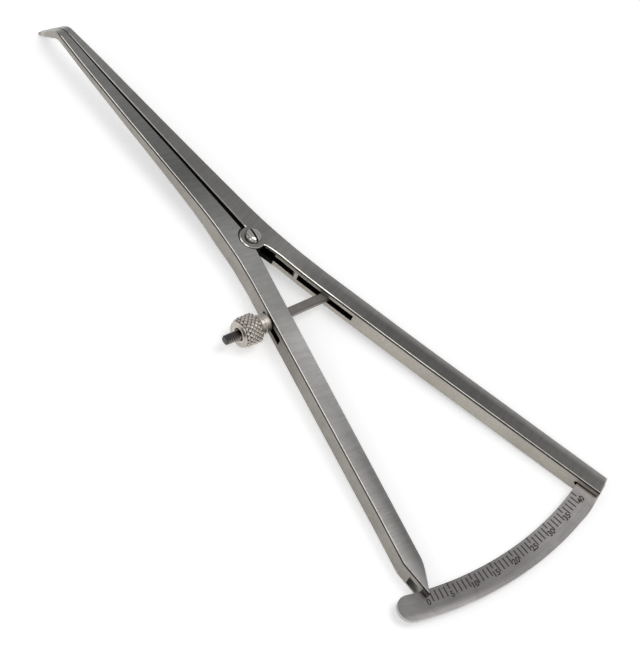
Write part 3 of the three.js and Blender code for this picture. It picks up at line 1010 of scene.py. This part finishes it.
# Points of a quarter round from one (distance, radius) corner of it to the other
def quarterRound(start, corner, end, steps=6):
    points = []
    for step in range(steps + 1):
        t = step / steps
        points.append(tuple(
            (1 - t) ** 2 * a + 2 * t * (1 - t) * b + t ** 2 * c
            for a, b, c in zip(start, corner, end)
        ))
    return points


# Runs a geometry tree on a mesh with its named inputs set, and gives back a plain mesh
def bakeTree(tree, mesh, values):
    carrier = addObject(tree.name, mesh)
    modifier = carrier.modifiers.new(tree.name, "NODES")
    modifier.node_group = tree
    for item in tree.interface.items_tree:
        if item.in_out == "INPUT" and item.name in values:
            modifier[item.identifier] = values[item.name]
    result = takeMesh(carrier)
    result.name = tree.name
    return result


# Sizes in mm as the inputs of a geometry tree; whole numbers are counts and stay as they are
def asInputs(sizes):
    return {label: size if isinstance(size, int) else size * mm for label, size in sizes.items()}


# Ends a geometry tree: gives the geometry its material and passes it out
def finishTree(tree, given, result, geometry):
    inputs = {"Geometry": geometry, "Material": given["Material"]}
    coated = addNode(tree, "GeometryNodeSetMaterial", inputs).outputs[0]
    tree.links.new(coated, result["Geometry"])
    return tree


def realize(tree, geometry):
    return addNode(tree, "GeometryNodeRealizeInstances", {"Geometry": geometry}).outputs[0]


def rotationFrom(tree, turn):
    return addNode(tree, "FunctionNodeEulerToRotation", {"Euler": turn}).outputs[0]


nut = {
    "hubRadius": 2.5,
    "hubLength": 1.2,
    "hubEdge": 0.25,
    "grooveWidth": 0.2,
    "grooveEdge": 0.1,
    "grooveDepth": 0.18,
    "flareWidth": 0.15,
    "flareDepth": 0.5,
    "barrelStart": 1.9,
    "barrelEnd": 5.2,
    "rootRadius": 3.4,
    "taperEnd": 5.85,
    "taperRadius": 2.95,
    "neckDepth": 0.2,
    "bossRadius": 3.1,
    "bossStart": 6.0,
    "length": 6.3,
    "edgeRound": 0.14,
    "mouthRadius": 1.62,
    "mouthDepth": 0.5,
    "mouthEdge": 0.15,
    "boreEdge": 0.1,
    "lipRadius": 2.0,
    "lipHeight": 0.14,
}
knurl = {
    "Rows": 7,
    "Columns": 20,
    "Row Step": 0.56,
    "First Row": 2.2,
    "Radius": nut["rootRadius"] - 0.02,
    "Taper Start": nut["barrelEnd"],
    "Taper End": nut["taperEnd"],
    "Taper Radius": nut["taperRadius"],
    "Height": 0.24,
}


# Raised diamonds of a knurl, in staggered rows around +X, added to the body that comes in
def buildKnurlTree():
    inputs = {"Geometry": None, **asInputs(knurl), "Tip Share": 0.3, "Material": None}
    tree, given, result = startTree("diamondKnurl", "GeometryNodeTree", inputs, ("Geometry",))
    columns = given["Columns"]
    index = addNode(tree, "GeometryNodeInputIndex").outputs[0]
    row = calc(tree, "FLOOR", calc(tree, "DIVIDE", index, columns))
    column = minus(tree, index, times(tree, row, columns))
    stagger = times(tree, calc(tree, "MODULO", row, 2.0), 0.5)
    turnShare = calc(tree, "DIVIDE", calc(tree, "ADD", column, stagger), columns)
    angle = times(tree, turnShare, 2 * math.pi)
    along = addUp(tree, given["First Row"], (row, given["Row Step"]))
    radius = ramp(tree, along, given["Taper Start"], given["Taper End"],
                  given["Radius"], given["Taper Radius"], smooth=False)
    aside = times(tree, radius, calc(tree, "COSINE", angle))
    place = joinUp(tree, along, aside, times(tree, radius, calc(tree, "SINE", angle)))
    count = times(tree, given["Rows"], columns)
    points = addNode(tree, "GeometryNodePoints", {"Count": count, "Position": place}).outputs[0]
    pip = addNode(tree, "GeometryNodeMeshCone", {
        "Vertices": 4,
        "Radius Top": given["Tip Share"],
        "Radius Bottom": 1.0,
        "Depth": 1.0,
    }).outputs[0]
    halfArc = calc(tree, "DIVIDE", times(tree, given["Radius"], math.pi), columns)
    pip = addNode(tree, "GeometryNodeTransform", {
        "Geometry": pip,
        "Rotation": (math.radians(-90), 0.0, 0.0),
        "Scale": joinUp(tree, given["Row Step"], halfArc, given["Height"]),
    }).outputs[0]
    pips = addNode(tree, "GeometryNodeInstanceOnPoints", {
        "Points": points,
        "Instance": pip,
        "Rotation": rotationFrom(tree, joinUp(tree, x=angle)),
    }).outputs[0]
    joined = addNode(tree, "GeometryNodeJoinGeometry")
    tree.links.new(realize(tree, pips), joined.inputs[0])
    tree.links.new(given["Geometry"], joined.inputs[0])
    return finishTree(tree, given, result, joined.outputs[0])


def buildNut():
    bore = layout["nutBore"]
    hub, groove = nut["hubRadius"], nut["hubRadius"] - nut["grooveDepth"]
    neck = nut["taperRadius"] - nut["neckDepth"]
    rim = nut["bossRadius"] - nut["edgeRound"]
    end = nut["length"]
    lipTop = end + nut["lipHeight"]
    mouthEnd = end - nut["mouthDepth"]
    profile = [
        (0.0, bore),
        (0.0, hub - nut["hubEdge"]),
        (nut["hubEdge"], hub),
        (nut["hubLength"] - nut["grooveWidth"] - nut["grooveEdge"], hub),
        (nut["hubLength"] - nut["grooveWidth"], groove),
        (nut["hubLength"], groove),
        (nut["hubLength"] + nut["flareWidth"], nut["rootRadius"] - nut["flareDepth"]),
        (nut["barrelStart"], nut["rootRadius"]),
        (nut["barrelEnd"], nut["rootRadius"]),
        (nut["taperEnd"], nut["taperRadius"]),
        (nut["taperEnd"], neck),
        (nut["bossStart"], neck),
        (nut["bossStart"], rim),
        (nut["bossStart"] + nut["edgeRound"] / 2, nut["bossRadius"]),
    ]
    profile += quarterRound((end - nut["edgeRound"], nut["bossRadius"]), (end, nut["bossRadius"]), (end, rim))
    profile += quarterRound(
        (end, nut["lipRadius"]),
        (lipTop, nut["lipRadius"]),
        (lipTop, (nut["lipRadius"] + nut["mouthRadius"]) / 2),
    )
    profile += [
        (end, nut["mouthRadius"]),
        (mouthEnd, bore + nut["boreEdge"]),
        (mouthEnd - nut["mouthEdge"], bore),
    ]
    body = turnedMesh("nutBody", profile)
    mesh = bakeTree(buildKnurlTree(), body, {**asInputs(knurl), "Material": knurlSteel})
    mesh.transform(alongRod(nutStart))
    finishPiece("knurledNut", mesh, knurlSteel, "nut_body", "adjusting_nut", 40)


collar = {"radius": 2.3, "innerRadius": 1.85, "round": 0.45, "backEdge": 0.2}


def buildCollar():
    bore = layout["nutBore"]
    length = layout["collarLength"]
    profile = [(0.0, bore)]
    profile += quarterRound(
        (0.0, collar["innerRadius"]),
        (0.0, collar["radius"]),
        (collar["round"], collar["radius"]),
    )
    profile += quarterRound(
        (length - collar["backEdge"], collar["radius"]),
        (length, collar["radius"]),
        (length, collar["radius"] - collar["backEdge"]),
    )
    profile.append((length, bore))
    mesh = turnedMesh("collarBody", profile)
    mesh.transform(alongRod(layout["collarStart"]))
    finishPiece("roundedCollar", mesh, collarSteel, "collar_body", "thrust_collar")



rod = {
    "Length": 30.65,
    "Radius": 1.2,
    "Half Flat": 0.8,
    "Pitch": 0.6,
    "Depth": 0.26,
    "Thread Start": 13.0,
    "Stations": 426,
    "Around": 49,
}


# Bar with a screw thread cut round it and two flats milled along it, built along +X
def buildThreadTree():
    inputs = {"Geometry": None, **asInputs(rod), "Material": None}
    tree, given, result = startTree("flattedThread", "GeometryNodeTree", inputs, ("Geometry",))
    length, radius, flat = given["Length"], given["Radius"], given["Half Flat"]
    depth, pitch, threadStart = given["Depth"], given["Pitch"], given["Thread Start"]
    sheet = addNode(tree, "GeometryNodeMeshGrid", {
        "Size X": 1.0,
        "Size Y": 1.0,
        "Vertices X": given["Stations"],
        "Vertices Y": given["Around"],
    }).outputs[0]
    split = splitUp(tree, addNode(tree, "GeometryNodeInputPosition").outputs[0])
    station = calc(tree, "DIVIDE", calc(tree, "ADD", length, radius), given["Stations"])
    back = times(tree, radius, -1.0)
    raw = ramp(tree, split[0], -0.5, 0.5, minus(tree, back, station),
               calc(tree, "ADD", length, station), smooth=False)
    along = calc(tree, "MINIMUM", larger(tree, raw, back), length)
    beyond = unsigned(tree, minus(tree, raw, along))
    inside = isBelow(tree, beyond, times(tree, station, 0.5))
    phase = minus(tree, calc(tree, "DIVIDE", along, pitch), split[1])
    tooth = unsigned(tree, addUp(tree, -1.0, (calc(tree, "FRACT", phase), 2.0)))
    valley = minus(tree, 1.0, ramp(tree, tooth, 0.1, 0.85, smooth=False))
    started = ramp(tree, along, threadStart, calc(tree, "ADD", threadStart, pitch))
    tip = ramp(tree, along, minus(tree, length, times(tree, depth, 1.2)), length, smooth=False)
    cut = larger(tree, times(tree, valley, started, depth), times(tree, tip, depth))
    reach = times(tree, minus(tree, radius, cut), inside)
    behind = calc(tree, "DIVIDE", calc(tree, "MINIMUM", along, 0.0), radius)
    eye = larger(tree, minus(tree, 1.0, times(tree, behind, behind)), 0.0)
    eye = calc(tree, "SQRT", eye)
    angle = times(tree, split[1], 2 * math.pi)
    y = times(tree, reach, calc(tree, "COSINE", angle), eye)
    z = calc(tree, "MINIMUM", times(tree, reach, calc(tree, "SINE", angle)), flat)
    z = larger(tree, z, times(tree, flat, -1.0))
    inputs = {"Geometry": sheet, "Position": joinUp(tree, along, y, z)}
    rolled = addNode(tree, "GeometryNodeSetPosition", inputs).outputs[0]
    inputs = {"Geometry": rolled, "Distance": 0.0005 * mm}
    welded = addNode(tree, "GeometryNodeMergeByDistance", inputs).outputs[0]
    return finishTree(tree, given, result, realize(tree, welded))


def buildRod():
    seed = bpy.data.meshes.new("rodSeed")
    mesh = bakeTree(buildThreadTree(), seed, {**asInputs(rod), "Material": rodSteel})
    mesh.transform(alongRod(0))
    finishPiece("threadedRod", mesh, rodSteel, "rod_body", "adjusting_rod", 32)


screw = {
    "shankRadius": 1.1,
    "headRadius": 1.93,
    "seat": 4.55,
    "top": 5.9,
    "edgeHeight": 0.5,
    "roundness": 0.62,
    "slotWidth": 0.44,
    "slotDepth": 0.75,
    "slotAngle": -11.0,
    "slotReach": 3.0,
    "headEdge": 0.06,
    "endEdge": 0.08,
    "domeSteps": 14,
}


def buildScrew():
    profile = [
        (0.0, 0.0),
        (0.0, screw["shankRadius"] - screw["endEdge"]),
        (screw["endEdge"], screw["shankRadius"]),
        (screw["seat"], screw["shankRadius"]),
        (screw["seat"], screw["headRadius"] - screw["headEdge"]),
        (screw["seat"] + screw["headEdge"], screw["headRadius"]),
    ]
    dome = screw["top"] - screw["seat"] - screw["edgeHeight"]
    for step in range(screw["domeSteps"]):
        t = math.pi / 2 * step / screw["domeSteps"]
        profile.append((
            screw["seat"] + screw["edgeHeight"] + dome * math.sin(t),
            screw["headRadius"] * math.cos(t) ** screw["roundness"],
        ))
    profile.append((screw["top"], 0.0))
    mesh = turnedMesh("screwBody", profile)
    mesh.transform(Matrix.Rotation(math.radians(-90), 4, "Y"))
    head = addObject("screwHead", mesh)
    block = bmesh.new()
    bmesh.ops.create_cube(block, size=1.0)
    slotMesh = toMesh(block, "slotBox")
    size = (2 * screw["slotReach"], screw["slotWidth"], 2 * screw["slotDepth"], 1 / mm)
    size = Matrix.Diagonal(size) * mm
    turn = Matrix.Rotation(math.radians(screw["slotAngle"]), 4, "Z")
    slotMesh.transform(Matrix.Translation((0, 0, screw["top"] * mm)) @ turn @ size)
    cutter = addObject("slotCutter", slotMesh)
    cut = head.modifiers.new("slot", "BOOLEAN")
    cut.operation = "DIFFERENCE"
    cut.solver = "EXACT"
    cut.object = cutter
    slotted = takeMesh(head)
    bpy.data.objects.remove(cutter)
    finishPiece("slottedScrew", slotted, screwSteel, "scale_body", "pivot_screw")


# The plate's outer edge near the arm as (angle, radius) pairs, and the angles where it is cut
plateShape = {
    "cuts": [number / 2 for number in range(19, 30)],
    "rimFrom": 97.0,
    "rim": ((9.5, 98.2), (10.5, 98.3), (12.0, 98.25), (13.0, 98.1), (14.2, 98.0), (15.0, 97.9)),
}


# The scale plate, its outer edge running on in a curve into the arm's end
def buildPlate():
    cuts = []
    for angle in plateShape["cuts"]:
        turn = math.radians(angle)
        cuts.append((0.0, Vector((-math.sin(turn), math.cos(turn), 0))))
    solid = cutCopy("scale_plate", cuts)
    for vert in solid.verts:
        angle = math.degrees(math.atan2(vert.co.y, vert.co.x))
        radius = math.hypot(vert.co.x, vert.co.y) / mm
        if angle > plateShape["cuts"][0] and radius > plateShape["rimFrom"]:
            target = follow(plateShape["rim"], angle)
            vert.co.x *= target / radius
            vert.co.y *= target / radius
    bmesh.ops.triangulate(solid, faces=solid.faces)
    mesh = toMesh(solid, "graduatedPlate")
    finishPiece("graduatedPlate", mesh, platedSheet, "scale_body", "scale_plate", 28)


ticks = {
    "Count": 41,
    "Inner Radius": layout["plateInnerRadius"],
    "Top": layout["plateTop"],
    "Fine Start": 0.6,
    "Fine Length": 2.35,
    "Five Start": 0.08,
    "Five Length": 1.5,
    "Width": 0.32,
    "Thickness": 0.02,
}


# All inputs of the tick marks; the reach only divides a reading, so it stays in mm
def tickInputs():
    angle = math.radians(layout["zeroAngle"])
    return {**asInputs(ticks), "Tip Reach": layout["tipReach"], "Zero Angle": angle}


# Tick marks round the plate; every fifth one starts at the edge, the others a little further out
def buildTickTree():
    inputs = {"Geometry": None, **tickInputs(), "Material": None}
    tree, given, result = startTree("tickMarks", "GeometryNodeTree", inputs, ("Geometry",))
    index = addNode(tree, "GeometryNodeInputIndex").outputs[0]
    sine = calc(tree, "DIVIDE", index, times(tree, given["Tip Reach"], 2.0))
    angle = addUp(tree, given["Zero Angle"], (calc(tree, "ARCSINE", sine), 2.0))
    isFive = isBelow(tree, calc(tree, "MODULO", index, 5.0), 0.5)
    turn = rotationFrom(tree, joinUp(tree, z=angle))
    joined = addNode(tree, "GeometryNodeJoinGeometry")
    for kind, chosen in (("Fine", minus(tree, 1.0, isFive)), ("Five", isFive)):
        start, length = given[kind + " Start"], given[kind + " Length"]
        centre = calc(tree, "ADD", given["Inner Radius"], addUp(tree, start, (length, 0.5)))
        x = times(tree, centre, calc(tree, "COSINE", angle))
        y = times(tree, centre, calc(tree, "SINE", angle))
        inputs = {"Count": given["Count"], "Position": joinUp(tree, x, y, given["Top"])}
        points = addNode(tree, "GeometryNodePoints", inputs).outputs[0]
        size = joinUp(tree, length, given["Width"], given["Thickness"])
        bars = addNode(tree, "GeometryNodeInstanceOnPoints", {
            "Points": points,
            "Selection": chosen,
            "Instance": addNode(tree, "GeometryNodeMeshCube", {"Size": size}).outputs[0],
            "Rotation": turn,
        }).outputs[0]
        tree.links.new(bars, joined.inputs[0])
    return finishTree(tree, given, result, realize(tree, joined.outputs[0]))


def buildTicks():
    seed = bpy.data.meshes.new("tickSeed")
    mesh = bakeTree(buildTickTree(), seed, {**tickInputs(), "Material": etchBlack})
    finishPiece("tickMarks", mesh, etchBlack, "scale_body", None, 0)


numbers = {"start": 2.0, "size": 1.95, "weight": 0.055, "step": 5}


# Plain numbers at every fifth mark, their tops towards the pivot
def buildNumbers():
    whole = bmesh.new()
    for number in range(0, ticks["Count"], numbers["step"]):
        curve = bpy.data.curves.new("number", "FONT")
        curve.body = str(number)
        curve.size = numbers["size"] * mm
        curve.align_x = "CENTER"
        curve.extrude = ticks["Thickness"] * mm / 2
        curve.offset = numbers["weight"] * mm
        curve.resolution_u = 4
        mesh = takeMesh(addObject("number", curve))
        top = max(v.co.y for v in mesh.vertices)
        angle = math.radians(layout["zeroAngle"]) + 2 * math.asin(number / (2 * layout["tipReach"]))
        radius = layout["plateInnerRadius"] + numbers["start"]
        place = Vector((radius * math.cos(angle), radius * math.sin(angle), layout["plateTop"])) * mm
        turn = Matrix.Rotation(angle + math.pi / 2, 4, "Z")
        mesh.transform(Matrix.Translation(place) @ turn @ Matrix.Translation((0, -top, 0)))
        whole.from_mesh(mesh)
    mesh = toMesh(whole, "numbers")
    finishPiece("scaleNumbers", mesh, etchBlack, "scale_body", None, 0)


buildArm("groundScaleArm", "scale_arm", scaleArmShape, scaleArmSteel, "scale_body")
buildArm("groundPointerArm", "pointer_arm", pointerArmShape, pointerArmSteel, "pointer_body")
print("arms made")
buildPlate()
buildNut()
buildCollar()
buildRod()
buildScrew()
print("turned pieces made")
buildTicks()
buildNumbers()
print("scale marked")


# The table that the caliper lies on: it touches the tips and the rear ends of the arms
floorLook = {
    "size": 3.0,
    "gap": 0.05,
    "colour": (0.93, 0.93, 0.93, 1),
    "whiteLift": 0.4,
    "speckScale": 900.0,
    "roughness": (0.8, 0.95),
    "specular": 0.1,
}


def buildFloor():
    arms = [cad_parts[name].data for name in ("scale_arm", "pointer_arm")]
    corners = [v.co.copy() for arm in arms for v in arm.vertices]
    tip = min(corners, key=lambda p: p.z)
    rear = Vector((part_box("scale_arm")[1].x, 0.0, 0.0))
    slope = (rear.z - tip.z) / (rear.x - tip.x)
    drop = min(p.z - slope * (p.x - rear.x) for p in corners) - floorLook["gap"] * mm
    half = floorLook["size"] / 2
    mesh = bpy.data.meshes.new("tableTop")
    signs = ((-1, -1), (1, -1), (1, 1), (-1, 1))
    points = [(x * half, y * half, drop + slope * (x * half - rear.x)) for x, y in signs]
    mesh.from_pydata(points, [], [(0, 1, 2, 3)])
    material, tree, surface = startMaterial("tablePaper")
    speck = addNode(tree, "ShaderNodeTexNoise", {"Scale": floorLook["speckScale"], "Detail": 3.0}).outputs[0]
    surface["Base Color"].default_value = floorLook["colour"]
    tree.links.new(ramp(tree, speck, 0.2, 0.8, *floorLook["roughness"]), surface["Roughness"])
    surface["Specular IOR Level"].default_value = floorLook["specular"]
    path = addNode(tree, "ShaderNodeLightPath").outputs
    seen = larger(tree, path["Is Camera Ray"], path["Is Glossy Ray"])
    seen = larger(tree, seen, path["Is Transmission Ray"])
    surface["Emission Color"].default_value = (1, 1, 1, 1)
    tree.links.new(times(tree, seen, floorLook["whiteLift"]), surface["Emission Strength"])
    mesh.materials.append(material)
    addObject("tableTop", mesh)


buildFloor()

# Soft boxes: name, place in m, aimed at the pivot, width in m, watts
lamps = {
    "overhead": ((0.17, 0.2, 0.95), 0.5, 2.3),
    "cameraSide": ((0.1, -0.62, 0.48), 0.35, 0.7),
    "leftSide": ((-0.42, -0.48, 0.34), 0.35, 0.45),
}
worldLook = {"light": (0.4, 0.4, 0.405, 1), "strength": 1.0}


def buildLights():
    for name, (place, width, watts) in lamps.items():
        lamp = bpy.data.lights.new(name, "AREA")
        lamp.size = width
        lamp.energy = watts
        holder = addObject(name, lamp)
        holder.location = place
        holder.rotation_mode = "QUATERNION"
        holder.rotation_quaternion = (-Vector(place)).to_track_quat("-Z", "Y")
    world = bpy.data.worlds.new("studio")
    world.use_nodes = True
    back = world.node_tree.nodes["Background"].inputs
    back["Color"].default_value = worldLook["light"]
    back["Strength"].default_value = worldLook["strength"]
    scene.world = world


# The photograph's view: angles in degrees, pivot in pixels of a 640 by 650 frame, distance in mm
view = {
    "elevation": 50.56,
    "turn": 24.867,
    "roll": 118.18,
    "distance": 419.16,
    "pixelsPerMm": 4.35865,
    "pivotPixel": (252.9, 236.8),
    "frame": (640, 650),
    "sensor": 36.0,
}


def buildCamera():
    elevation = math.radians(view["elevation"])
    turn = math.radians(view["turn"])
    roll = math.radians(view["roll"])
    up = Vector((0, 0, 1))
    level = Vector((math.cos(turn), math.sin(turn), 0))
    ahead = Vector((math.sin(turn), -math.cos(turn), 0))
    lean = math.sin(elevation) * ahead - math.cos(elevation) * up
    right = math.sin(roll) * level + math.cos(roll) * lean
    down = -math.cos(roll) * level + math.sin(roll) * lean
    back = math.cos(elevation) * ahead + math.sin(elevation) * up
    width, height = view["frame"]
    aside = (view["pivotPixel"][0] - width / 2) / view["pixelsPerMm"]
    below = (view["pivotPixel"][1] - height / 2) / view["pixelsPerMm"]
    pivot = Vector((0, 0, layout["armTop"]))
    place = pivot + view["distance"] * back - aside * right - below * down
    data = bpy.data.cameras.new("photoCamera")
    data.sensor_width = view["sensor"]
    data.lens = view["pixelsPerMm"] * view["distance"] / max(width, height) * view["sensor"]
    data.clip_start = 0.01
    data.clip_end = 20.0
    camera = addObject("photoCamera", data)
    axes = Matrix((right, -down, back)).transposed().to_4x4()
    camera.matrix_world = Matrix.Translation(place * mm) @ axes
    scene.camera = camera


buildLights()
buildCamera()
scene.view_settings.view_transform = "Standard"
print("table, lights and camera placed")
